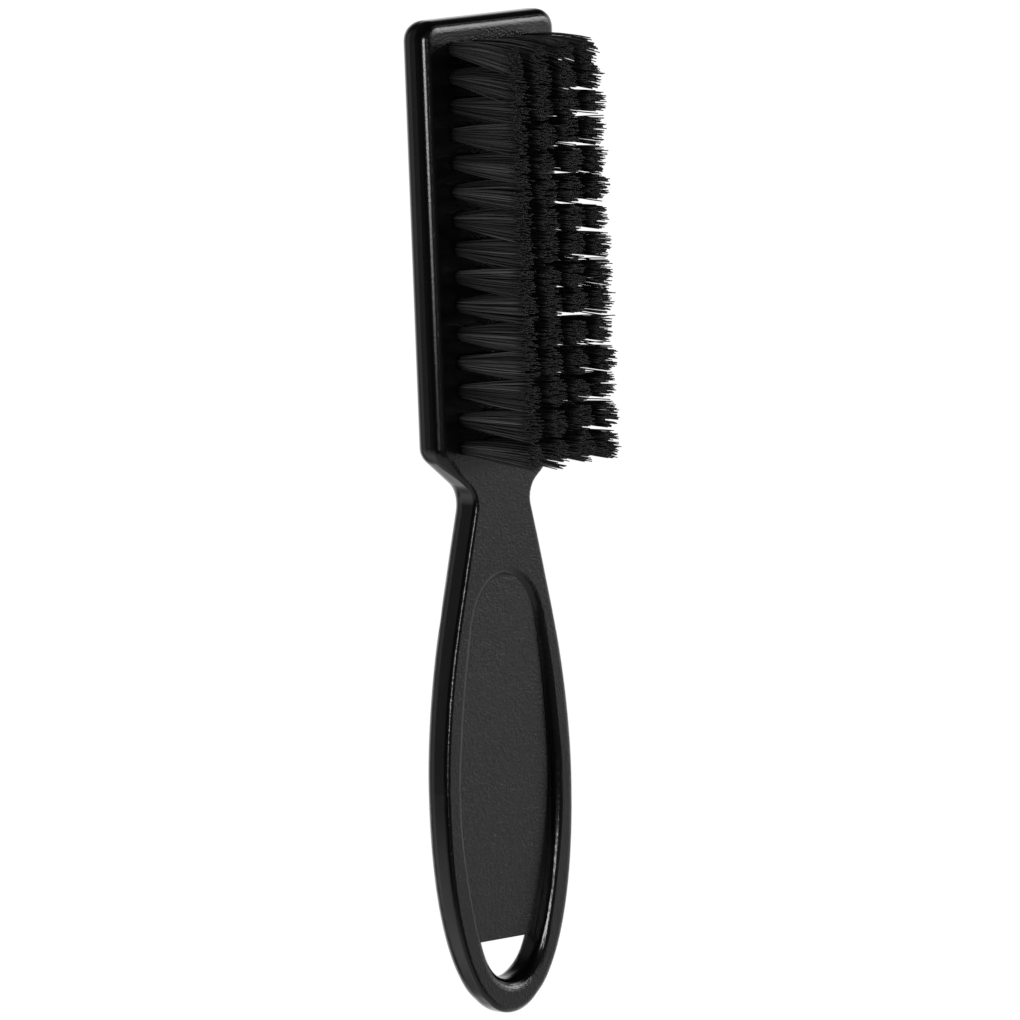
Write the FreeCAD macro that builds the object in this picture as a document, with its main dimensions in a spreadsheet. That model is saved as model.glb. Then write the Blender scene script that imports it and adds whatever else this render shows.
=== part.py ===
import FreeCAD, Part
import Sketcher
import math
import os

# Fade brush, lying on its back: bristles up (+Z), long axis along X with the
# head toward -X and the end of the grip toward +X, width along Y.  The origin
# is the middle of the footprint, on the plane the brush lies on.
# Pieces: one moulded handle (head, neck, ring grip and web), fifteen lines of
# four bristle tufts, and the flat wire anchor that staples each tuft down.

V = FreeCAD.Vector
doc = FreeCAD.newDocument("fade_brush")

# ---------------------------------------------------------------- dimensions
sheet = doc.addObject("Spreadsheet::Sheet", "Dims")
DIMS = [
    ("overall_length", 170.4, "end to end"),
    ("thickness", 6.70, "head and grip, back face to front face"),
    ("head_half_far", 16.10, "half width of the head at its free end"),
    ("head_half_near", 15.10, "half width of the head at the shoulder"),
    ("corner_radius", 3.35, "plan radius of the head's free corners"),
    ("shoulder_start", 74.15, "from the free end to the shoulder's corner"),
    ("shoulder_radius", 3.35, "plan radius of the shoulder's corner"),
    ("shoulder_slope", 52.2, "degrees that the shoulder turns in"),
    ("neck_radius", 4.4, "plan radius of the hollow of the neck"),
    ("neck_vertex", 81.08, "from the free end to the neck's corner point"),
    ("neck_half", 6.19, "half width at the neck's corner point"),
    ("grip_slope", 14.5, "degrees that the grip opens at the neck"),
    ("grip_half", 15.38, "largest half width of the grip"),
    ("grip_middle", 131.2, "from the free end to the widest place"),
    ("end_power", 2.25, "fullness of the rounded end"),
    ("end_reach", 38.8, "run of that curve, from the widest place"),
    ("back_round", 3.4, "rounding of all the back edges"),
    ("head_round", 2.1, "rounding of the head's front edges"),
    ("grip_round", 0.85, "rounding of the grip's front edges at the neck"),
    ("end_round", 1.35, "rounding of the grip's front edges at its end"),
    ("sweep_start", 72.0, "where the front starts to fall away"),
    ("sweep_drop", 0.66, "how far it has fallen at the end of the grip"),
    ("recess_start", 0.75, "depth of the front recess at its arched end"),
    ("recess_depth", 2.33, "depth of the front recess at the web's straight edge"),
    ("back_recess", 1.5, "back recess around the web"),
    ("web_end", 157.75, "from the free end to the web's straight edge"),
    ("inner_round", 1.55, "rounding of the ring's inner front edges"),
    ("inner_round_low", 1.25, "the same, beside the hang hole"),
    ("inner_round_end", 2.3, "the same, at the end of the hang hole"),
    ("inner_round_back", 2.0, "rounding of the ring's inner back edges"),
    ("hole_radius", 1.2, "drilled tuft hole"),
    ("hole_depth", 4.6, "depth of a tuft hole"),
    ("first_line", 5.0, "from the free end to the first line of tufts"),
    ("line_pitch", 4.83, "between lines, along the head"),
    ("row_pitch", 6.0, "between rows, across the head"),
    ("line_count", 15, "lines of tufts"),
    ("row_count", 4, "tufts in a line"),
    ("root_radius", 1.15, "bundle inside its hole"),
    ("tip_radius", 2.25, "bundle at its trimmed tips"),
    ("bristle_length", 17.4, "face of the head to the tips"),
    ("anchor_length", 2.8, "flat wire anchor, across the hole"),
    ("anchor_thick", 0.32, "flat wire anchor"),
    ("anchor_height", 1.5, "flat wire anchor, along the hole"),
    ("anchor_depth", 4.1, "face of the head to the anchor's lower edge"),
]
for row, (alias, value, note) in enumerate(DIMS, start=1):
    sheet.set("A%d" % row, alias)
    sheet.set("B%d" % row, repr(value))
    sheet.set("C%d" % row, note)
    sheet.setAlias("B%d" % row, alias)
doc.recompute()


def dim(alias):
    return float(getattr(sheet, alias))


L = dim("overall_length")
T = dim("thickness")


def at(station):
    """X of a station measured from the head's free end."""
    return station - L / 2.0


# ------------------------------------------------------------------- helpers
def plane(body, role):
    for f in body.Origin.OriginFeatures:
        if f.Role == role:
            return f
    raise RuntimeError("no origin plane " + role)


def sketch_on(body, role, name, geometry):
    sk = body.newObject("Sketcher::SketchObject", name)
    sk.AttachmentSupport = [(plane(body, role), "")]
    sk.MapMode = "FlatFace"
    for g in geometry:
        sk.addGeometry(g, False)
    doc.recompute()
    return sk


def tidy(objs):
    """Every feature recomputed and sound."""
    doc.recompute()
    for o in objs:
        bad = [s for s in o.State if s in ("Invalid", "Error")]
        if bad:
            raise RuntimeError("%s is %s" % (o.Name, bad))


def line(a, b):
    return Part.LineSegment(V(a[0], a[1], 0), V(b[0], b[1], 0))


def arc(a, m, b):
    return Part.Arc(V(a[0], a[1], 0), V(m[0], m[1], 0), V(b[0], b[1], 0))


def rounded(p, q, r, radius):
    """Tangent arc in the corner q of the path p-q-r: start, middle, end."""
    a = V(p[0] - q[0], p[1] - q[1], 0)
    b = V(r[0] - q[0], r[1] - q[1], 0)
    a.normalize()
    b.normalize()
    half = math.acos(max(-1.0, min(1.0, a.dot(b)))) / 2.0
    cut = radius / math.tan(half)
    bis = a + b
    bis.normalize()
    centre = V(q[0], q[1], 0) + bis * (radius / math.sin(half))
    mid = centre - bis * radius
    return ((q[0] + a.x * cut, q[1] + a.y * cut), (mid.x, mid.y),
            (q[0] + b.x * cut, q[1] + b.y * cut))


# ------------------------------------------------------- outline of the handle
# Half of the plan outline, on the +Y side, from the free end to the grip.
far_corner = (at(0.0), dim("head_half_far"))
turn = math.radians(dim("shoulder_slope"))
shoulder = (at(dim("shoulder_start")), dim("head_half_near"))
neck = (at(dim("neck_vertex")), dim("neck_half"))
open_angle = math.radians(dim("grip_slope"))
grip_on = (neck[0] + 10.0 * math.cos(open_angle), neck[1] + 10.0 * math.sin(open_angle))

c1 = rounded((at(0.0), 0.0), far_corner, shoulder, dim("corner_radius"))
c2 = rounded(far_corner, shoulder, neck, dim("shoulder_radius"))
c3 = rounded(shoulder, neck, grip_on, dim("neck_radius"))


def grip_half(station):
    """Half width of the full rounded end, from its widest place on."""
    t = (station - dim("grip_middle")) / dim("end_reach")
    n = dim("end_power")
    return dim("grip_half") * (1.0 - t ** n) ** (1.0 / n)


opening = [(90.0, 8.49), (97.0, 10.22), (105.0, 12.165), (113.0, 13.745), (121.0, 14.815)]


def curve(points, start, end):
    """Smooth curve through plan points with given end directions."""
    c = Part.BSplineCurve()
    run = [0.0]
    for p, q in zip(points, points[1:]):
        run.append(run[-1] + math.hypot(q[0] - p[0], q[1] - p[1]))
    c.interpolate(Points=[V(x, y, 0) for x, y in points], Parameters=run, Scale=False,
                  InitialTangent=V(start[0], start[1], 0), FinalTangent=V(end[0], end[1], 0))
    a, b = c.FirstParameter, c.LastParameter
    tight = max(c.curvature(a + (b - a) * k / 200.0) for k in range(201))
    if tight > 1.0 / 2.0:
        raise RuntimeError("a plan curve turns tighter than 2 mm")
    return c


widest = (at(dim("grip_middle")), dim("grip_half"))
tip = (at(L), 0.0)
opening = [c3[2]] + [(at(s), w) for s, w in opening] + [widest]
closing = [widest] + [(at(s), grip_half(s)) for s in (138.0, 145.0, 151.0, 156.5, 161.0, 164.5, 167.0, 168.4)]
# close to the end the outline is a plain arc that meets the middle square on
closing_end = closing[-1]
end_dx = tip[0] - closing_end[0]
end_radius = (end_dx ** 2 + closing_end[1] ** 2) / (2.0 * end_dx)
end_dir = (closing_end[1] / end_radius, (tip[0] - end_radius - closing_end[0]) / end_radius)
grip_side = [curve(opening, (math.cos(open_angle), math.sin(open_angle)), (1, 0)),
             curve(closing, (1, 0), end_dir)]


def flip(p):
    return (p[0], -p[1])


outline = [
    line(flip(c1[0]), c1[0]),
    arc(*c1), line(c1[2], c2[0]),
    arc(*c2), line(c2[2], c3[0]),
    arc(*c3), grip_side[0], grip_side[1],
    arc(closing_end, tip, flip(closing_end)),
    curve([flip(p) for p in reversed(closing)], (-end_dir[0], end_dir[1]), (-1, 0)),
    curve([flip(p) for p in reversed(opening)], (-1, 0), (-math.cos(open_angle), math.sin(open_angle))),
    arc(flip(c3[2]), flip(c3[1]), flip(c3[0])), line(flip(c3[0]), flip(c2[2])),
    arc(flip(c2[2]), flip(c2[1]), flip(c2[0])), line(flip(c2[0]), flip(c1[2])),
    arc(flip(c1[2]), flip(c1[1]), flip(c1[0])),
]

# The blank: the outline at full thickness, then the front let down in one
# very long arc from the shoulder to the end of the grip.
blank = doc.addObject("PartDesign::Body", "handle_blank")
sk_outline = sketch_on(blank, "XY_Plane", "handle_outline", outline)
pad = blank.newObject("PartDesign::Pad", "handle_pad")
pad.Profile = sk_outline
pad.setExpression("Length", "Dims.thickness")
tidy([sk_outline, pad])
v0 = pad.Shape.Volume

s0 = at(dim("sweep_start"))
drop = dim("sweep_drop")
reach = L - dim("sweep_start")


def fall(station):
    """How far the front has fallen at a station."""
    t = max(0.0, (station - dim("sweep_start")) / reach)
    return drop * t * t


sk_sweep = sketch_on(blank, "XZ_Plane", "front_sweep",
                     [arc((s0, T), (at((dim("sweep_start") + L + 3) / 2.0), T - fall((dim("sweep_start") + L + 3) / 2.0)),
                          (at(L + 3), T - fall(L + 3))),
                      line((at(L + 3), T - fall(L + 3)), (at(L + 3), T + 2)),
                      line((at(L + 3), T + 2), (s0, T + 2)),
                      line((s0, T + 2), (s0, T))])
last = pad
for name, other_way in (("front_fall_left", False), ("front_fall_right", True)):
    cut = blank.newObject("PartDesign::Pocket", name)
    cut.Profile = sk_sweep
    cut.Length = 40.0
    cut.Reversed = other_way
    tidy([sk_sweep, cut])
    if not cut.Shape.Volume < last.Shape.Volume - 150.0:
        raise RuntimeError("the front was not let down")
    last = cut
blank.Tip = last
doc.recompute()
print("blank", round(v0, 1), "->", round(blank.Shape.Volume, 1))

# ------------------------------------------------- rounded edges of the handle
# The head's front edges are full and soft; the grip's are tight, and one runs
# into the other along the shoulder.  The back is rounded alike all round.


def front_radius(x):
    k = (x - c2[2][0]) / (c3[0][0] - c2[2][0])
    k = max(0.0, min(1.0, k))
    on_grip = (x - widest[0]) / (closing_end[0] - widest[0])
    on_grip = max(0.0, min(1.0, on_grip))
    grip = dim("grip_round") + (dim("end_round") - dim("grip_round")) * on_grip
    return dim("head_round") + (grip - dim("head_round")) * k


rounds = []
for i, e in enumerate(blank.Shape.Edges, start=1):
    bb = e.BoundBox
    across = bb.XMax - bb.XMin < 0.01 and bb.XMin > at(1.0)
    middle = abs(bb.YMax) < 0.01 and abs(bb.YMin) < 0.01
    if bb.ZMax < 0.01:
        rounds.append((i, dim("back_round"), dim("back_round")))
    elif bb.ZMin > 4.0 and not across and not middle:
        first, last_pt = e.valueAt(e.FirstParameter), e.valueAt(e.LastParameter)
        rounds.append((i, front_radius(first.x), front_radius(last_pt.x)))
soft = doc.addObject("Part::Fillet", "handle_rounded")
soft.Base = blank
soft.Edges = rounds
tidy([soft])

# --------------------------------------------- ring, web and hang hole
# Inside the ring the grip is thinned to a web: a deep recess in front that
# keeps to the swept front, a shallow one behind.  The web stops at a straight
# edge, and what is left open beyond it is the hang hole.
arch = [(at(s), w) for s, w in ((95.5, 0.0), (96.3, 3.05), (98.4, 5.4), (101.5, 6.98), (106.0, 7.98),
                                (111.5, 8.99), (117.5, 9.83), (123.5, 10.48), (131.0, 11.0))]
bowl = [(at(s), w) for s, w in ((131.0, 11.0), (138.5, 10.85), (146.0, 10.05), (152.0, 8.92),
                                (156.0, 7.82), (159.5, 6.48), (162.25, 4.65), (163.9, 2.4), (164.45, 0.0))]


beside = curve(bowl, (1, 0), (0, -1))
cut_at = beside.parameter(V(at(156.0), dict(bowl)[at(156.0)], 0))
long_side, short_side = beside.copy(), beside.copy()
long_side.segment(beside.FirstParameter, cut_at)
short_side.segment(cut_at, beside.LastParameter)


def mirrored(c):
    """The same plan curve on the other side, run the other way."""
    m = c.copy()
    m.mirror(V(0, 0, 0), V(1, 0, 0))
    m.reverse()
    return m


arch_side = curve(arch, (0, 1), (1, 0))
inner = [arch_side, long_side, short_side, mirrored(short_side), mirrored(long_side), mirrored(arch_side)]
sk_inner = doc.addObject("Sketcher::SketchObject", "ring_inside")
for g in inner:
    sk_inner.addGeometry(g, False)
sk_inner.Placement = FreeCAD.Placement(V(0, 0, -1), FreeCAD.Rotation())
column = doc.addObject("Part::Extrusion", "ring_inside_column")
column.Base = sk_inner
column.Dir = V(0, 0, 1)
column.DirMode = "Custom"
column.setExpression("LengthFwd", "Dims.thickness + 3")
column.Solid = True

opened = doc.addObject("Part::Cut", "handle_ring_open")
opened.Base = soft
opened.Tool = column
tidy([column, opened])
if not opened.Shape.Volume < soft.Shape.Volume - 1000.0:
    raise RuntimeError("the ring was not opened")

# The front edges of the opening keep one radius along the web and swell round
# the end of the hole; the back edges are rounded alike.


def inner_radius(x):
    if x <= at(131.0):
        return dim("inner_round")
    if x <= at(156.0):
        return dim("inner_round") + (dim("inner_round_low") - dim("inner_round")) * (x - at(131.0)) / 25.0
    k = (x - at(156.0)) / (bowl[-1][0] - at(156.0))
    return dim("inner_round_low") + (dim("inner_round_end") - dim("inner_round_low")) * min(1.0, k)


front_edges, back_edges = [], []
for i, e in enumerate(opened.Shape.Edges, start=1):
    bb = e.BoundBox
    if bb.XMin < at(95.0) or bb.XMax > at(165.2) or max(bb.YMax, -bb.YMin) > 11.5:
        continue
    m = e.valueAt((e.FirstParameter + e.LastParameter) / 2.0)
    if abs(m.z - (T - fall(m.x + L / 2.0))) < 0.08:
        first, last_pt = e.valueAt(e.FirstParameter), e.valueAt(e.LastParameter)
        front_edges.append((i, inner_radius(first.x), inner_radius(last_pt.x)))
    elif abs(m.z) < 0.01:
        back_edges.append((i, dim("inner_round_back"), dim("inner_round_back")))
if len(front_edges) != 6 or len(back_edges) != 6:
    raise RuntimeError("inner edges: %d front, %d back" % (len(front_edges), len(back_edges)))
ring = doc.addObject("Part::Fillet", "handle_ring")
ring.Base = opened
ring.Edges = front_edges + back_edges
tidy([ring])

# The web's side view: front floor, straight end, back floor.
web_end = dim("web_end")
w0, w1 = 92.0, web_end


def z_front(station):
    """The recess is a scoop: shallow under the arch, deepest at the web's end."""
    k = (station - 95.5) / (web_end - 95.5)
    return T - dim("recess_start") - (dim("recess_depth") - dim("recess_start")) * k - fall(station)


floor_points = [(at(s), z_front(s)) for s in (w0, (w0 + w1) / 2.0, w1)]
back = dim("back_recess")
sk_web = doc.addObject("Sketcher::SketchObject", "web_side_view")
sk_web.addGeometry(arc(*floor_points), False)
sk_web.addGeometry(line(floor_points[2], (at(w1), back)), False)
sk_web.addGeometry(line((at(w1), back), (at(w0), back)), False)
sk_web.addGeometry(line((at(w0), back), floor_points[0]), False)
sk_web.Placement = FreeCAD.Placement(V(0, 0, 0), FreeCAD.Rotation(V(1, 0, 0), 90))
slab = doc.addObject("Part::Extrusion", "web_slab")
slab.Base = sk_web
slab.DirMode = "Custom"
slab.Dir = V(0, 1, 0)
slab.LengthFwd = 20
slab.LengthRev = 20
slab.Solid = True
# the web runs on into the ring's wall, past the rounding of its back edge
keyed = [(129.0 + (x + L / 2.0 - 129.0) * 1.015 - L / 2.0, y * 1.07) for x, y in arch[:-1] + bowl]
keyed_side = curve(keyed, (0, 1), (0, -1))
sk_keyed = doc.addObject("Sketcher::SketchObject", "web_plan")
sk_keyed.addGeometry(keyed_side, False)
sk_keyed.addGeometry(mirrored(keyed_side), False)
keyed_column = doc.addObject("Part::Extrusion", "web_plan_column")
keyed_column.Base = sk_keyed
keyed_column.Dir = V(0, 0, 1)
keyed_column.DirMode = "Custom"
keyed_column.setExpression("LengthFwd", "Dims.thickness")
keyed_column.Solid = True
web = doc.addObject("Part::Common", "web")
web.Base = slab
web.Tool = keyed_column
tidy([slab, keyed_column, web])
solid_handle = doc.addObject("Part::Fuse", "handle_plain")
solid_handle.Base = ring
solid_handle.Tool = web
tidy([solid_handle])
print("ring", round(ring.Shape.Volume, 1), "web", round(web.Shape.Volume, 1), "handle",
      round(solid_handle.Shape.Volume, 1), len(solid_handle.Shape.Solids), len(solid_handle.Shape.Faces))
if len(solid_handle.Shape.Solids) != 1:
    raise RuntimeError("the web does not join the ring")

# ------------------------------------------------ tuft holes and wire anchors
lines = int(dim("line_count"))
rows = int(dim("row_count"))
first_y = -dim("row_pitch") * (rows - 1) / 2.0


def line_x(i):
    return at(dim("first_line") + dim("line_pitch") * i)


def row_y(j):
    return first_y + dim("row_pitch") * j


drill = doc.addObject("PartDesign::Body", "tuft_drill")
circles = [Part.Circle(V(line_x(i), row_y(j), 0), V(0, 0, 1), dim("hole_radius"))
           for i in range(lines) for j in range(rows)]
sk_holes = sketch_on(drill, "XY_Plane", "tuft_holes", circles)
sk_holes.setExpression(".AttachmentOffset.Base.z", "Dims.thickness - Dims.hole_depth")
drill_pad = drill.newObject("PartDesign::Pad", "tuft_hole_depth")
drill_pad.Profile = sk_holes
drill_pad.setExpression("Length", "Dims.hole_depth + 1")
tidy([sk_holes, drill_pad])
drilled = doc.addObject("Part::Cut", "handle_drilled")
drilled.Base = solid_handle
drilled.Tool = drill
tidy([drilled])
took = solid_handle.Shape.Volume - drilled.Shape.Volume
want = lines * rows * math.pi * dim("hole_radius") ** 2 * dim("hole_depth")
if abs(took - want) > 0.02 * want:
    raise RuntimeError("tuft holes took %.1f, not %.1f" % (took, want))

# Each anchor is a slip of flat wire a little longer than its hole is wide, so
# that its two ends bite into the plastic.
anchors = []
for i in range(lines):
    body = doc.addObject("PartDesign::Body", "anchor_line_%02d" % (i + 1))
    body.Label = "anchor_line_%02d" % (i + 1)
    half_l = dim("anchor_length") / 2.0
    half_t = dim("anchor_thick") / 2.0
    geo = []
    for j in range(rows):
        y = row_y(j)
        p = [(-half_t, y - half_l), (half_t, y - half_l), (half_t, y + half_l), (-half_t, y + half_l)]
        geo += [line(p[k], p[(k + 1) % 4]) for k in range(4)]
    sk = sketch_on(body, "XY_Plane", "anchor_plan_%02d" % (i + 1), geo)
    sk.setExpression(".AttachmentOffset.Base.z", "Dims.thickness - Dims.anchor_depth")
    strip = body.newObject("PartDesign::Pad", "anchor_strip_%02d" % (i + 1))
    strip.Profile = sk
    strip.setExpression("Length", "Dims.anchor_height")
    body.setExpression(".Placement.Base.x",
                       "Dims.first_line + Dims.line_pitch * %d - Dims.overall_length / 2" % i)
    tidy([sk, strip, body])
    if len(body.Shape.Solids) != rows:
        raise RuntimeError(body.Label + " has %d pieces" % len(body.Shape.Solids))
    anchors.append(body)

bites = doc.addObject("Part::Compound", "anchor_bites")
bites.Links = anchors
handle = doc.addObject("Part::Cut", "handle")
handle.Label = "handle"
handle.Base = drilled
handle.Tool = bites
tidy([bites, handle])
if not handle.Shape.Volume < drilled.Shape.Volume - 5.0:
    raise RuntimeError("the anchors did not bite")

# ------------------------------------------------------------- bristle tufts
# A tuft is a bundle of filaments folded double under its anchor.  It fills
# its hole and opens out evenly to its trimmed tips.
tufts = []
for i in range(lines):
    body = doc.addObject("PartDesign::Body", "tuft_line_%02d" % (i + 1))
    body.Label = "tuft_line_%02d" % (i + 1)
    z0 = T - dim("hole_depth")
    z2 = T + dim("bristle_length")
    rr, rt = dim("root_radius"), dim("tip_radius")
    prof = [line((0, z0), (rr, z0)), line((rr, z0), (rr, T)), line((rr, T), (rt, z2)),
            line((rt, z2), (0, z2)), line((0, z2), (0, z0))]
    sk = sketch_on(body, "XZ_Plane", "tuft_profile_%02d" % (i + 1), prof)
    con = Sketcher.Constraint
    for k in range(5):
        sk.addConstraint(con("Coincident", k, 2, (k + 1) % 5, 1))
    sk.addConstraint(con("PointOnObject", 0, 1, -2))
    sk.addConstraint(con("PointOnObject", 4, 1, -2))
    sk.addConstraint(con("Horizontal", 0))
    sk.addConstraint(con("Vertical", 1))
    sk.addConstraint(con("Horizontal", 3))
    for name, c in (("root", con("DistanceX", 0, 1, 0, 2, rr)), ("tip", con("DistanceX", 3, 2, 3, 1, rt)),
                    ("floor", con("DistanceY", -1, 1, 0, 1, z0)), ("face", con("DistanceY", -1, 1, 1, 2, T)),
                    ("trim", con("DistanceY", -1, 1, 3, 1, z2))):
        k = sk.addConstraint(c)
        sk.renameConstraint(k, name)
    sk.setExpression("Constraints.root", "Dims.root_radius")
    sk.setExpression("Constraints.tip", "Dims.tip_radius")
    sk.setExpression("Constraints.floor", "Dims.thickness - Dims.hole_depth")
    sk.setExpression("Constraints.face", "Dims.thickness")
    sk.setExpression("Constraints.trim", "Dims.thickness + Dims.bristle_length")
    turned = body.newObject("PartDesign::Revolution", "tuft_bundle_%02d" % (i + 1))
    turned.Profile = sk
    turned.ReferenceAxis = (sk, ["V_Axis"])
    turned.Angle = 360.0
    tidy([sk, turned])
    whole = turned.Shape.Volume
    half_t = dim("anchor_thick") / 2.0
    za = T - dim("anchor_depth")
    zb = za + dim("anchor_height")
    slot = sketch_on(body, "XZ_Plane", "fold_%02d" % (i + 1),
                     [line((-half_t, za), (half_t, za)), line((half_t, za), (half_t, zb)),
                      line((half_t, zb), (-half_t, zb)), line((-half_t, zb), (-half_t, za))])
    fold = body.newObject("PartDesign::Pocket", "tuft_fold_%02d" % (i + 1))
    fold.Profile = slot
    fold.Type = "ThroughAll"
    fold.Midplane = True
    tidy([slot, fold])
    gone = whole - fold.Shape.Volume
    if gone < 0.9 * 2 * half_t * (zb - za) * 2 * math.sqrt(rr ** 2 - half_t ** 2):
        raise RuntimeError(body.Label + " has no room for its anchor")
    row = body.newObject("PartDesign::LinearPattern", "tuft_row_%02d" % (i + 1))
    row.Originals = [turned, fold]
    row.Direction = (plane(body, "Y_Axis"), [""])
    row.setExpression("Length", "Dims.row_pitch * (Dims.row_count - 1)")
    row.Occurrences = rows
    body.Tip = row
    body.setExpression(".Placement.Base.x",
                       "Dims.first_line + Dims.line_pitch * %d - Dims.overall_length / 2" % i)
    body.setExpression(".Placement.Base.y", "-Dims.row_pitch * (Dims.row_count - 1) / 2")
    tidy([row, body])
    if len(body.Shape.Solids) != rows or abs(body.Shape.Volume - rows * fold.Shape.Volume) > 0.01:
        raise RuntimeError("%s: %d solids, %.2f" % (body.Label, len(body.Shape.Solids), body.Shape.Volume))
    tufts.append(body)

# ------------------------------------------------------------------- writing
doc.recompute()
for o in doc.Objects:
    if any(s in ("Invalid", "Error") for s in o.State):
        raise RuntimeError("%s is %s" % (o.Name, o.State))
nodes = [handle] + tufts + anchors
for o in nodes:
    if o.Shape.isNull() or not o.Shape.isValid():
        raise RuntimeError(o.Label + " is not a sound shape")
os.makedirs("parts", exist_ok=True)
box = FreeCAD.BoundBox()
for o in nodes:
    o.Shape.exportStep("parts/%s.step" % o.Label)
    box.add(o.Shape.optimalBoundingBox())
print("nodes", len(nodes), "box", box)
print("handle", round(handle.Shape.Volume, 1), "mm3,", len(handle.Shape.Solids), "solid,",
      "tuft", round(tufts[0].Shape.Volume / rows, 2), "anchor", round(anchors[0].Shape.Volume / rows, 3))
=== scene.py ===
import math
import random

import bpy
import numpy as np
from mathutils import Matrix, Vector


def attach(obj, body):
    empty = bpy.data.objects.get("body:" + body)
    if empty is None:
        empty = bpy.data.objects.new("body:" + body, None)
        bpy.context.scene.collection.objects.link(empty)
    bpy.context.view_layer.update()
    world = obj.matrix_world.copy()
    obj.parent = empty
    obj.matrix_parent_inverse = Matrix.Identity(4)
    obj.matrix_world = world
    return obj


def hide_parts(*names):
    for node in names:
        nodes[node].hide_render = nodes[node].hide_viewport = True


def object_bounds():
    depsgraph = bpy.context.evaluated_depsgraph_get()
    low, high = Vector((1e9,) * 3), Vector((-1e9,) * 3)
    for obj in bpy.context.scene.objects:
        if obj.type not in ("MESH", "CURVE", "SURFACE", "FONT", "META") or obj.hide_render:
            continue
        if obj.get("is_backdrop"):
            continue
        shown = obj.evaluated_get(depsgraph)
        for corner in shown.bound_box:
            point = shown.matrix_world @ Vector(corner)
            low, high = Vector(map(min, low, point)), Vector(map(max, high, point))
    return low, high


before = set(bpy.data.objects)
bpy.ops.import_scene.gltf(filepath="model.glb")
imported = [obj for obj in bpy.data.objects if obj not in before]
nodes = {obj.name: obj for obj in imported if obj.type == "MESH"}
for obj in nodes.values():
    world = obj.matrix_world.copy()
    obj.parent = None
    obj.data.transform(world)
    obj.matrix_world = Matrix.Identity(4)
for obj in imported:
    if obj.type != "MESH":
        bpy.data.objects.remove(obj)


def plain(value):
    if hasattr(value, "__len__") and not isinstance(value, (str, dict)):
        return [plain(v) for v in value]
    return float(value)


cad_box = plain(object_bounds())

scene = bpy.context.scene
MM = 0.001

# ---------------------------------------------------------------- layout of the brush, in millimetres
HALF = 85.2
THICK = 6.70
LINES, ROWS = 15, 4
FIRST_LINE, LINE_PITCH, ROW_PITCH = 5.0, 4.83, 6.0
HOLE_R = 1.2


def front(x):
    """height of the front face, in metres, at x in metres"""
    t = max(0.0, (x + 0.0132) / 0.0984)
    return (THICK - 0.66 * t * t) * MM


# ---------------------------------------------------------------- node helpers
class Graph:
    """A short way to write a material's node tree."""

    def __init__(self, name):
        self.mat = bpy.data.materials.new(name)
        self.mat.use_nodes = True
        self.t = self.mat.node_tree
        self.t.nodes.clear()
        self.out = self.t.nodes.new("ShaderNodeOutputMaterial")
        self.bsdf = self.t.nodes.new("ShaderNodeBsdfPrincipled")
        self.t.links.new(self.bsdf.outputs[0], self.out.inputs[0])

    def set(self, socket, value):
        s = self.bsdf.inputs[socket]
        if isinstance(value, bpy.types.NodeSocket):
            self.t.links.new(value, s)
        else:
            s.default_value = value

    def node(self, kind, inputs=None, **props):
        n = self.t.nodes.new(kind)
        for k, v in props.items():
            setattr(n, k, v)
        for k, v in (inputs or {}).items():
            if isinstance(v, bpy.types.NodeSocket):
                self.t.links.new(v, n.inputs[k])
            else:
                n.inputs[k].default_value = v
        return n

    def math(self, op, a, b=0.0, c=0.0, clamp=False):
        n = self.t.nodes.new("ShaderNodeMath")
        n.operation = op
        n.use_clamp = clamp
        for i, v in enumerate((a, b, c)):
            if isinstance(v, bpy.types.NodeSocket):
                self.t.links.new(v, n.inputs[i])
            else:
                n.inputs[i].default_value = v
        return n.outputs[0]

    def ramp(self, value, lo, hi, a=0.0, b=1.0, smooth=True):
        n = self.t.nodes.new("ShaderNodeMapRange")
        n.interpolation_type = "SMOOTHSTEP" if smooth else "LINEAR"
        self.t.links.new(value, n.inputs[0])
        n.inputs[1].default_value = lo
        n.inputs[2].default_value = hi
        n.inputs[3].default_value = a
        n.inputs[4].default_value = b
        return n.outputs[0]

    def mix(self, fac, a, b):
        """mix of two numbers"""
        n = self.t.nodes.new("ShaderNodeMix")
        n.data_type = "FLOAT"
        for i, v in ((0, fac), (2, a), (3, b)):
            if isinstance(v, bpy.types.NodeSocket):
                self.t.links.new(v, n.inputs[i])
            else:
                n.inputs[i].default_value = v
        return n.outputs[0]

    def colours(self, fac, stops):
        n = self.t.nodes.new("ShaderNodeValToRGB")
        cr = n.color_ramp
        while len(cr.elements) > 1:
            cr.elements.remove(cr.elements[-1])
        cr.elements[0].position, cr.elements[0].color = stops[0][0], (*stops[0][1], 1)
        for p, c in stops[1:]:
            e = cr.elements.new(p)
            e.color = (*c, 1)
        self.t.links.new(fac, n.inputs[0])
        return n.outputs[0]


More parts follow.
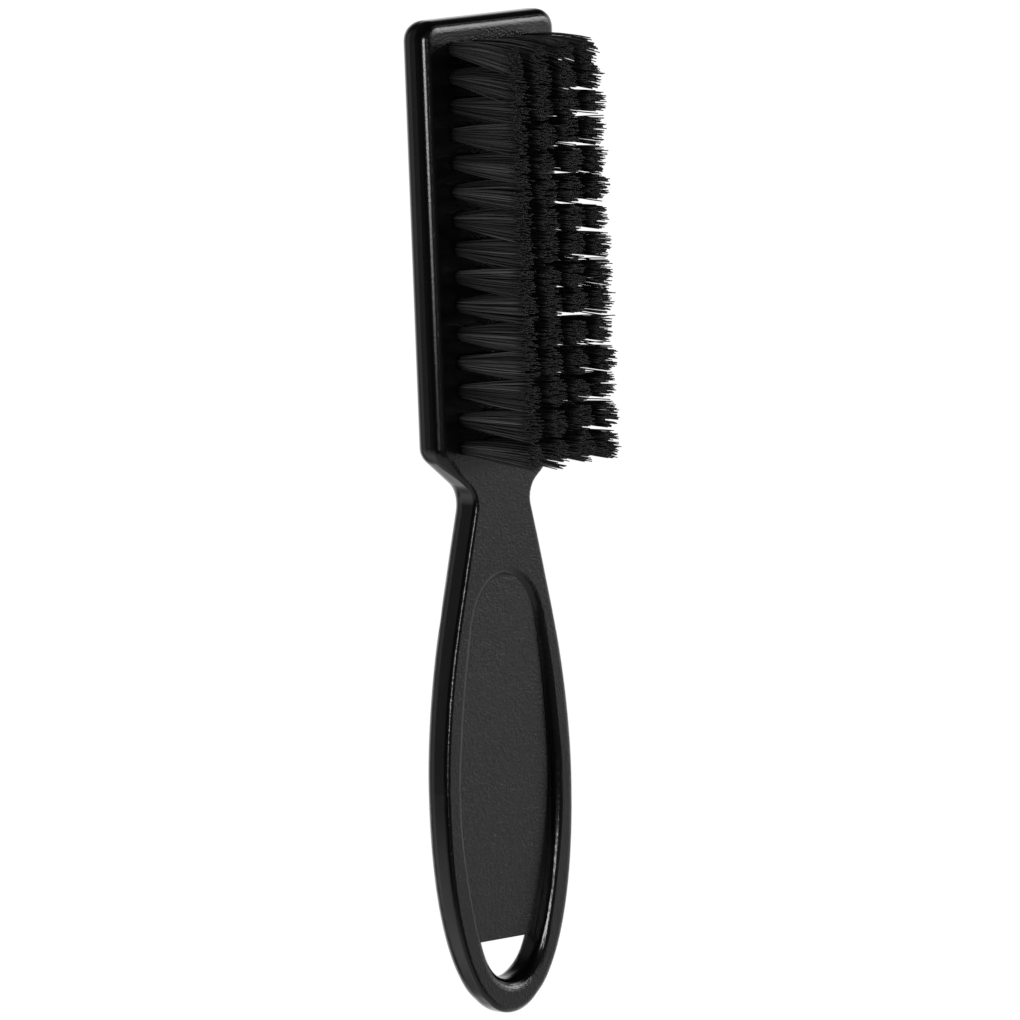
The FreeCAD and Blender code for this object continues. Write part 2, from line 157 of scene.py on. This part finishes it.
# ---------------------------------------------------------------- handle plastic
def handle_material():
    g = Graph("handle_black_plastic")
    pos = g.node("ShaderNodeTexCoord").outputs["Object"]

    # satin moulding: a fine, even spark-eroded grain over a slightly wavy surface,
    # coarser on the web than on the rubbed rim and head
    x, y, z = (g.node("ShaderNodeSeparateXYZ", {0: pos}).outputs[i] for i in range(3))
    fall = g.math("MAXIMUM", g.math("DIVIDE", g.math("ADD", x, 0.0132), 0.0984), 0.0)
    face = g.math("MULTIPLY_ADD", g.math("MULTIPLY", fall, fall), -0.00066, 0.0067)
    depth = g.math("SUBTRACT", face, z)
    floor_depth = g.math("MULTIPLY_ADD", g.math("SUBTRACT", x, 0.0103), 0.0254, 0.00058)
    on_web = g.math("MULTIPLY", g.math("GREATER_THAN", depth, floor_depth), g.ramp(x, 0.0100, 0.0112))
    # the middle of the rim: nothing past it belongs to the web
    widen = g.math("MULTIPLY_ADD", g.math("SUBTRACT", x, 0.0103), 0.235, 0.0080)
    narrow = g.math("MULTIPLY_ADD", g.math("SUBTRACT", 0.0727, x), 0.25, 0.0090)
    limit = g.math("MINIMUM", g.math("MINIMUM", widen, narrow), 0.0115)
    inside = g.math("MULTIPLY", g.math("LESS_THAN", g.math("ABSOLUTE", y), limit), g.math("LESS_THAN", x, 0.0729))
    on_web = g.math("MULTIPLY", on_web, g.math("MULTIPLY", inside, g.math("LESS_THAN", depth, 0.0030)))
    fine = g.node("ShaderNodeTexNoise", {"Vector": pos, "Scale": 4300.0, "Detail": 2.0, "Roughness": 0.6})
    coarse = g.node("ShaderNodeTexNoise", {"Vector": pos, "Scale": 2100.0, "Detail": 1.0, "Roughness": 0.5})
    wave = g.node("ShaderNodeTexNoise", {"Vector": pos, "Scale": 95.0, "Detail": 2.0, "Roughness": 0.5})
    height = g.math("MULTIPLY_ADD", coarse.outputs[0], 0.9, fine.outputs[0])
    flat = g.math("SUBTRACT", 1.0, g.ramp(depth, 0.00012, 0.00035))
    height = g.math("MULTIPLY", height, g.math("MAXIMUM", g.mix(flat, 0.25, 1.8), g.mix(on_web, 0.0, 2.4)))
    height = g.math("MULTIPLY_ADD", wave.outputs[0], 0.25, height)
    bump = g.node("ShaderNodeBump", {"Strength": 0.55, "Distance": 0.00005, "Height": height})
    g.set("Normal", bump.outputs[0])

    # carbon-black plastic, with faint mottling
    dust = g.node("ShaderNodeTexNoise", {"Vector": pos, "Scale": 340.0, "Detail": 3.0, "Roughness": 0.6})
    g.set("Base Color", g.colours(dust.outputs[0], [(0.3, (0.0030, 0.0030, 0.0032)), (0.7, (0.0050, 0.0050, 0.0052))]))
    smear = g.node("ShaderNodeTexNoise", {"Vector": pos, "Scale": 60.0, "Detail": 4.0, "Roughness": 0.62})
    speck = g.node("ShaderNodeTexNoise", {"Vector": pos, "Scale": 3100.0, "Detail": 1.0, "Roughness": 0.5})
    rough = g.ramp(smear.outputs[0], 0.3, 0.7, 0.135, 0.165, smooth=False)
    rough = g.math("ADD", rough, g.ramp(speck.outputs[0], 0.3, 0.7, -0.02, 0.02, smooth=False))
    rough = g.math("MULTIPLY_ADD", on_web, 0.03, rough)
    g.set("Roughness", rough)
    g.set("IOR", 1.5)
    g.set("Specular IOR Level", 0.5)
    return g.mat


# ---------------------------------------------------------------- bristle nylon
def bristle_material():
    g = Graph("bristle_black_nylon")
    uv = g.node("ShaderNodeAttribute", attribute_name="along", attribute_type="GEOMETRY")
    tone = g.node("ShaderNodeAttribute", attribute_name="tone", attribute_type="GEOMETRY")
    pos = g.node("ShaderNodeTexCoord").outputs["Object"]
    streak = g.node("ShaderNodeTexNoise", {"Vector": pos, "Scale": 2600.0, "Detail": 2.0, "Roughness": 0.5})
    base = g.math("MULTIPLY_ADD", streak.outputs[0], 0.25, g.math("MULTIPLY", tone.outputs["Fac"], 0.75))
    # the cut ends are duller than the sides; their colour is also darkened towards the tips as painted shade, standing
    # in for the shade the upward-facing tips get between the tufts
    base = g.math("MULTIPLY", base, g.mix(g.ramp(uv.outputs["Fac"], 0.955, 0.99), 1.0, 0.22))
    g.set("Base Color", g.colours(base, [(0.0, (0.004, 0.004, 0.004)), (0.5, (0.036, 0.036, 0.0365)), (1.0, (0.135, 0.135, 0.136))]))
    cut = g.ramp(uv.outputs["Fac"], 0.985, 1.0)
    g.set("Roughness", g.mix(cut, g.mix(tone.outputs["Fac"], 0.46, 0.34), 0.72))
    g.set("IOR", 1.53)
    bump = g.node("ShaderNodeBump", {"Strength": 0.25, "Distance": 0.00001, "Height": streak.outputs[0]})
    g.set("Normal", bump.outputs[0])
    return g.mat


def wire_material():
    g = Graph("anchor_brass_wire")
    pos = g.node("ShaderNodeTexCoord").outputs["Object"]
    drawn = g.node("ShaderNodeTexNoise", {"Vector": pos, "Scale": 3000.0, "Detail": 3.0, "Roughness": 0.6})
    g.set("Base Color", g.colours(drawn.outputs[0], [(0.2, (0.55, 0.38, 0.13)), (0.8, (0.75, 0.55, 0.24))]))
    g.set("Metallic", 1.0)
    g.set("Roughness", g.ramp(drawn.outputs[0], 0.2, 0.8, 0.22, 0.38, smooth=False))
    bump = g.node("ShaderNodeBump", {"Strength": 0.2, "Distance": 0.00001, "Height": drawn.outputs[0]})
    g.set("Normal", bump.outputs[0])
    return g.mat


def give(obj, mat):
    if obj.data.materials:
        for i in range(len(obj.data.materials)):
            obj.data.materials[i] = mat
    else:
        obj.data.materials.append(mat)


plastic = handle_material()
nylon = bristle_material()
wire = wire_material()

for name, obj in nodes.items():
    if name.startswith("handle"):
        give(obj, plastic)
    elif name.startswith("anchor"):
        give(obj, wire)
    else:
        give(obj, nylon)


# ---------------------------------------------------------------- bristles: one tube per filament
SIDES = 5
RINGS = 8
FILAMENT_R = 0.105


def tip_height(u, w):
    """height of the trimmed tips over the front face, at station u and side w"""
    f = min(max((u - 5.0) / 68.0, 0.0), 1.0)
    worn = math.exp(-f / 0.15)
    left = 15.6 + 0.55 * f + 1.0 * f ** 4 - 0.7 * worn
    right = 15.8 + 0.45 * f + 0.7 * f ** 4 - 1.2 * worn
    s = (w + 8.4) / 16.8
    return left + (right - left) * s


def filaments(line, rnd):
    """(paths, tones) of one line's filaments: paths is a list of (RINGS, 3) arrays in millimetres in (x, y, z)"""
    u0 = FIRST_LINE + LINE_PITCH * line
    paths, tones = [], []
    lean_line = {0: 1.75, 1: 0.75, 2: 0.1, LINES - 2: 0.15, LINES - 1: 0.55}.get(line, 0.0)
    for row in range(ROWS):
        w0 = (row - 1.5) * ROW_PITCH
        base = front((u0 - HALF) * MM) / MM
        lean_u = lean_line + rnd.gauss(0, 0.16)
        lean_w = rnd.gauss(0, 0.14) + 0.10 * (row - 1.5)
        count = 118
        if line in (0, LINES - 1):
            spread_u = rnd.uniform(2.3, 2.6)
        elif row == 0:
            spread_u = rnd.uniform(2.6, 2.9)
        elif row == 1:
            spread_u = rnd.uniform(2.35, 2.6)
        else:
            spread_u = rnd.uniform(2.15, 2.38)
        spread_w = rnd.uniform(2.0, 2.3)
        trim = rnd.gauss(0, 0.12)
        # a few locks of filaments that stay together make the streaks
        locks = [(rnd.uniform(-1, 1), rnd.gauss(0, 0.16), rnd.gauss(0, 0.12), rnd.uniform(-0.35, 0.3)) for _ in range(8)]
        for i in range(count):
            r = math.sqrt((i + 0.5) / count)
            a = i * 2.399963 + rnd.uniform(-0.25, 0.25)
            bx, by = r * math.cos(a), r * math.sin(a)
            r2 = min(r * rnd.uniform(0.90, 1.08), 1.12)
            a2 = a + rnd.gauss(0, 0.12)
            tx, ty = r2 * math.cos(a2), r2 * math.sin(a2)
            stray = rnd.random() < 0.045
            k = rnd.uniform(1.1, 1.5) if stray else 1.0
            lock = min(locks, key=lambda q: abs(q[0] - bx))
            x0 = u0 - HALF + bx * (HOLE_R - 0.13)
            y0 = w0 + by * (HOLE_R - 0.13)
            x1 = u0 - HALF + lean_u + tx * spread_u * k + lock[1]
            y1 = w0 + lean_w + ty * spread_w * k + lock[2]
            h = tip_height(u0 + tx * spread_u, w0 + ty * spread_w) + trim + rnd.gauss(0, 0.16)
            if rnd.random() < 0.05:
                h += rnd.uniform(0.1, 0.55)
            elif rnd.random() < 0.05:
                h -= rnd.uniform(0.2, 1.1)
            bow_x = rnd.gauss(0, 0.05) + 0.22 * bx
            bow_y = rnd.gauss(0, 0.05) + 0.16 * by
            wig = rnd.gauss(0, 0.03)
            ph = rnd.uniform(0, 6.28)
            z0 = base - 1.4
            pts = []
            for j in range(RINGS):
                s = j / (RINGS - 1)
                e = max(0.0, (s * (h + 1.4) - 1.4) / h)
                arch = 4 * e * (1 - e)
                # leaning lines curve over, they don't kink at the hole
                q = e
                ql = 0.35 * e + 0.65 * e * e
                px = x0 + (x1 - x0 - lean_line) * q + lean_line * ql + bow_x * arch + wig * math.sin(ph + 5.0 * e)
                py = y0 + (y1 - y0) * q + bow_y * arch + wig * math.cos(ph + 4.0 * e)
                pz = z0 + s * (h + 1.4)
                pts.append((px, py, pz))
            paths.append(np.array(pts))
            tones.append(min(max(rnd.gauss(0.46, 0.24) + lock[3], 0.0), 1.0))
    return paths, tones


def tubes(name, paths, tones, mat):
    verts, faces, along, tone = [], [], [], []
    ang = np.linspace(0, 2 * math.pi, SIDES, endpoint=False)
    for p, tn in zip(paths, tones):
        d = np.gradient(p, axis=0)
        d /= np.linalg.norm(d, axis=1)[:, None]
        sx = np.cross(d, (0.0, 1.0, 0.0))
        sx /= np.linalg.norm(sx, axis=1)[:, None]
        sy = np.cross(d, sx)
        start = len(verts)
        n = len(p)
        for j in range(n):
            rad = FILAMENT_R if j < n - 1 else FILAMENT_R * 0.86
            ring = p[j] + rad * (np.cos(ang)[:, None] * sx[j] + np.sin(ang)[:, None] * sy[j])
            verts.extend(ring * MM)
            along.extend([j / (n - 1)] * SIDES)
            tone.extend([tn] * SIDES)
        for j in range(n - 1):
            for k in range(SIDES):
                a = start + j * SIDES + k
                b = start + j * SIDES + (k + 1) % SIDES
                faces.append((a, a + SIDES, b + SIDES, b))
        faces.append(tuple(start + k for k in range(SIDES)))
        faces.append(tuple(start + (n - 1) * SIDES + k for k in reversed(range(SIDES))))
    mesh = bpy.data.meshes.new(name)
    mesh.from_pydata([tuple(v) for v in verts], [], faces)
    mesh.update()
    for key, vals in (("along", along), ("tone", tone)):
        at = mesh.attributes.new(key, "FLOAT", "POINT")
        at.data.foreach_set("value", np.array(vals, np.float32))
    smooth = np.array([len(f) == 4 for f in faces], bool)
    mesh.polygons.foreach_set("use_smooth", smooth)
    obj = bpy.data.objects.new(name, mesh)
    scene.collection.objects.link(obj)
    mesh.materials.append(mat)
    return obj


rnd = random.Random(415)
for i in range(LINES):
    paths, tones = filaments(i, rnd)
    piece = tubes(f"bristles_line_{i + 1:02d}", paths, tones, nylon)
    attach(piece, "root")
    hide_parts(f"tuft_line_{i + 1:02d}")


# ---------------------------------------------------------------- camera
PHI, THETA, RHO = math.radians(45.138), math.radians(6.883), math.radians(1.654)
to_cam = Vector((-math.sin(THETA), -math.sin(PHI) * math.cos(THETA), math.cos(PHI) * math.cos(THETA)))
xc = Vector((0, math.cos(PHI), math.sin(PHI)))
yc = Vector((-math.cos(THETA), math.sin(PHI) * math.sin(THETA), -math.cos(PHI) * math.sin(THETA)))
right = math.cos(RHO) * xc - math.sin(RHO) * yc
up = math.sin(RHO) * xc + math.cos(RHO) * yc
target = Vector((-0.000073, 0, THICK * MM))
cam_data = bpy.data.cameras.new("camera")
cam_data.sensor_width = 36.0
cam_data.lens = 512.37
cam_data.clip_end = 50.0
cam = bpy.data.objects.new("camera", cam_data)
scene.collection.objects.link(cam)
eye = target + 2.4588 * to_cam + 0.00093 * right + 0.000964 * up
m = Matrix((
    (right.x, up.x, to_cam.x, eye.x),
    (right.y, up.y, to_cam.y, eye.y),
    (right.z, up.z, to_cam.z, eye.z),
    (0, 0, 0, 1),
))
cam.matrix_world = m
scene.camera = cam


# ---------------------------------------------------------------- studio
def emission(name, strength, colour=(1, 1, 1)):
    mat = bpy.data.materials.new(name)
    mat.use_nodes = True
    t = mat.node_tree
    t.nodes.clear()
    o = t.nodes.new("ShaderNodeOutputMaterial")
    e = t.nodes.new("ShaderNodeEmission")
    e.inputs[0].default_value = (*colour, 1)
    e.inputs[1].default_value = strength
    t.links.new(e.outputs[0], o.inputs[0])
    return mat


def quad(name, centre, direction, width, height, roll_up, mat):
    """a flat card whose face looks along direction; width goes across roll_up"""
    d = Vector(direction).normalized()
    u = Vector(roll_up)
    u = (u - u.dot(d) * d).normalized()
    r = u.cross(d).normalized()
    c = Vector(centre)
    pts = [c + r * sx * width / 2 + u * sy * height / 2 for sx, sy in ((-1, -1), (1, -1), (1, 1), (-1, 1))]
    mesh = bpy.data.meshes.new(name)
    mesh.from_pydata([tuple(p) for p in pts], [], [(0, 1, 2, 3)])
    obj = bpy.data.objects.new(name, mesh)
    scene.collection.objects.link(obj)
    mesh.materials.append(mat)
    obj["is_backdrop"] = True
    return obj


def card(name, direction, distance, width, height, roll_up, strength):
    """a glowing card that only shows in reflections"""
    d = Vector(direction).normalized()
    obj = quad(name, target + d * distance, -d, width, height, roll_up, emission(name, strength))
    obj.visible_camera = False
    obj.visible_diffuse = False
    obj.visible_shadow = False
    obj.visible_transmission = False
    return obj


def area(name, direction, distance, width, height, roll_up, power):
    d = Vector(direction).normalized()
    light = bpy.data.lights.new(name, "AREA")
    light.shape = "RECTANGLE"
    light.size, light.size_y = width, height
    light.energy = power
    obj = bpy.data.objects.new(name, light)
    scene.collection.objects.link(obj)
    u = Vector(roll_up)
    u = (u - u.dot(d) * d).normalized()
    r = u.cross(d).normalized()
    p = target + d * distance
    obj.matrix_world = Matrix((
        (r.x, u.x, d.x, p.x), (r.y, u.y, d.y, p.y), (r.z, u.z, d.z, p.z), (0, 0, 0, 1)))
    obj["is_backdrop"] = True
    return obj


def smooth(v, lo, hi):
    t = min(max((v - lo) / (hi - lo), 0.0), 1.0)
    return t * t * (3 - 2 * t)


def around(d, centre, inner, outer):
    """1 inside the inner angle round centre, 0 outside the outer one, in degrees"""
    c = Vector(centre).normalized()
    angle = math.degrees(math.acos(max(-1.0, min(1.0, d.dot(c)))))
    return 1.0 - smooth(angle, inner, outer)


def tent_light(d):
    """what the brush reflects from the studio around it, in direction d"""
    e = 0.02
    # pale paper behind and under the brush, seen at a glancing angle
    e += 0.95 * around(d, (0.11, 0.60, -0.79), 22, 55)
    # wide softbox on the bristle side, from the table to halfway up
    bearing = math.degrees(math.atan2(d.x, d.y))
    wide = smooth(bearing, -38, -12) * (1 - smooth(bearing, 38, 62)) * smooth(d.z, -0.55, -0.15) * (1 - smooth(d.z, 0.73, 0.86))
    # and its spill round the end of the grip
    spill = smooth(d.x, 0.34, 0.62) * smooth(d.z, -0.85, -0.6) * (1 - smooth(d.z, 0.60, 0.82))
    e += max(0.62 * wide, 0.46 * spill)
    e += 0.22 * smooth(bearing, -38, -12) * (1 - smooth(bearing, 38, 62)) * smooth(d.z, -0.5, -0.2) * (1 - smooth(d.z, 0.05, 0.5))
    # paper on the near side, below the brush
    e += 0.42 * smooth(-d.y, 0.1, 0.5) * smooth(-d.z, 0.58, 0.90)
    e += 0.45 * smooth(d.x, 0.10, 0.34) * smooth(-d.y, 0.1, 0.6) * smooth(-d.z, -0.2, 0.30)
    # dim ceiling
    e += 0.10 * smooth(d.z, 0.6, 0.95)
    # lamp beyond the head end
    e += 7.5 * around(d, (-0.38, 0.70, 0.60), 7, 24)
    return e


mesh = bpy.data.meshes.new("studio_tent")
import bmesh

bm = bmesh.new()
bmesh.ops.create_icosphere(bm, subdivisions=6, radius=4.0)
bmesh.ops.reverse_faces(bm, faces=bm.faces)
bm.to_mesh(mesh)
bm.free()
paint = mesh.attributes.new("glow", "FLOAT", "POINT")
paint.data.foreach_set("value", np.array([tent_light(v.co.normalized()) for v in mesh.vertices], np.float32))
tent = bpy.data.objects.new("studio_tent", mesh)
scene.collection.objects.link(tent)
mat = bpy.data.materials.new("studio_tent")
mat.use_nodes = True
t = mat.node_tree
t.nodes.clear()
o = t.nodes.new("ShaderNodeOutputMaterial")
e = t.nodes.new("ShaderNodeEmission")
at = t.nodes.new("ShaderNodeAttribute")
at.attribute_name = "glow"
t.links.new(at.outputs["Fac"], e.inputs["Strength"])
t.links.new(e.outputs[0], o.inputs[0])
mat.cycles.emission_sampling = "NONE"
mesh.materials.append(mat)
tent.visible_camera = False
tent.visible_diffuse = False
tent.visible_shadow = False
tent.visible_transmission = False
tent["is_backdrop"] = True

g = Graph("floor_paper")
pos = g.node("ShaderNodeTexCoord").outputs["Object"]
tooth = g.node("ShaderNodeTexNoise", {"Vector": pos, "Scale": 700.0, "Detail": 3.0, "Roughness": 0.6})
g.set("Base Color", g.colours(tooth.outputs[0], [(0.0, (0.10, 0.10, 0.10)), (1.0, (0.12, 0.12, 0.12))]))
g.set("Roughness", 0.9)
g.set("Specular IOR Level", 0.1)
g.set("Emission Color", (1.0, 1.0, 1.0, 1.0))
# one-sided, so that the underside of the brush can be looked at from below
face = g.math("SUBTRACT", 1.0, g.node("ShaderNodeNewGeometry").outputs["Backfacing"])
g.set("Emission Strength", face)
g.set("Alpha", face)
floor = quad("floor", (0, 0, -0.00005), (0, 0, 1), 12.0, 12.0, (0, 1, 0), g.mat)
floor.visible_glossy = False

world = bpy.data.worlds.new("studio")
scene.world = world
world.use_nodes = True
world.node_tree.nodes["Background"].inputs[0].default_value = (1, 1, 1, 1)
# dim as a light, and the floor's own white where it is seen
seen = world.node_tree.nodes.new("ShaderNodeLightPath")
level = world.node_tree.nodes.new("ShaderNodeMath")
level.operation = "MULTIPLY_ADD"
level.inputs[1].default_value = 0.90
level.inputs[2].default_value = 0.10
world.node_tree.links.new(seen.outputs["Is Camera Ray"], level.inputs[0])
world.node_tree.links.new(level.outputs[0], world.node_tree.nodes["Background"].inputs[1])
world.cycles_visibility.glossy = False

# key lamp beside the line of sight, over the head
card("card_key", (-0.13, -0.70, 0.70), 0.64, 0.20, 0.20, (1, 0, 0), 13.0)

scene.view_settings.view_transform = "Standard"
scene.view_settings.look = "None"
scene.view_settings.exposure = 0.0
scene.view_settings.gamma = 1.0
scene.cycles.max_bounces = 8
scene.render.film_transparent = False

{"cad_box": cad_box, "visual_box": plain(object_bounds())}
